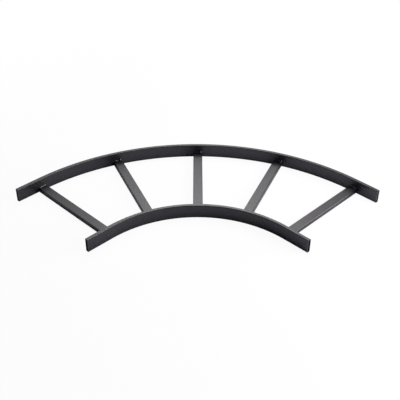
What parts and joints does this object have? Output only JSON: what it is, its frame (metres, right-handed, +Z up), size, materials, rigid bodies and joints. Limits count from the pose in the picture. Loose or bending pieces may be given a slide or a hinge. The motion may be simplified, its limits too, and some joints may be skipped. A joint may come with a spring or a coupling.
{
  "type": "cable ladder bend",
  "caption": "Flat right-angle bend of a tubular cable ladder: curved rectangular-tube stringers with short straight ends, joined by welded radial rungs, powder coated matt black.",
  "frame": {"origin": "middle of the footprint, on the floor that the ladder lies on", "axes": "+X across the bend from one end to the other, +Y from the bend's centre out to the outer stringer, +Z up"},
  "size_m": [0.9632, 0.4466, 0.0381],
  "materials": {
    "powder_coat": "matt black powder coat"
  },
  "bodies": {
    "root": {"inner_stringer": "powder_coat", "outer_stringer": "powder_coat", "rung_1": "powder_coat", "rung_2": "powder_coat", "rung_3": "powder_coat", "rung_4": "powder_coat", "rung_5": "powder_coat", "inner_weld_1": "powder_coat", "inner_weld_2": "powder_coat", "inner_weld_3": "powder_coat", "inner_weld_4": "powder_coat", "inner_weld_5": "powder_coat", "outer_weld_1": "powder_coat", "outer_weld_2": "powder_coat", "outer_weld_3": "powder_coat", "outer_weld_4": "powder_coat", "outer_weld_5": "powder_coat"}
  },
  "joints": []
}
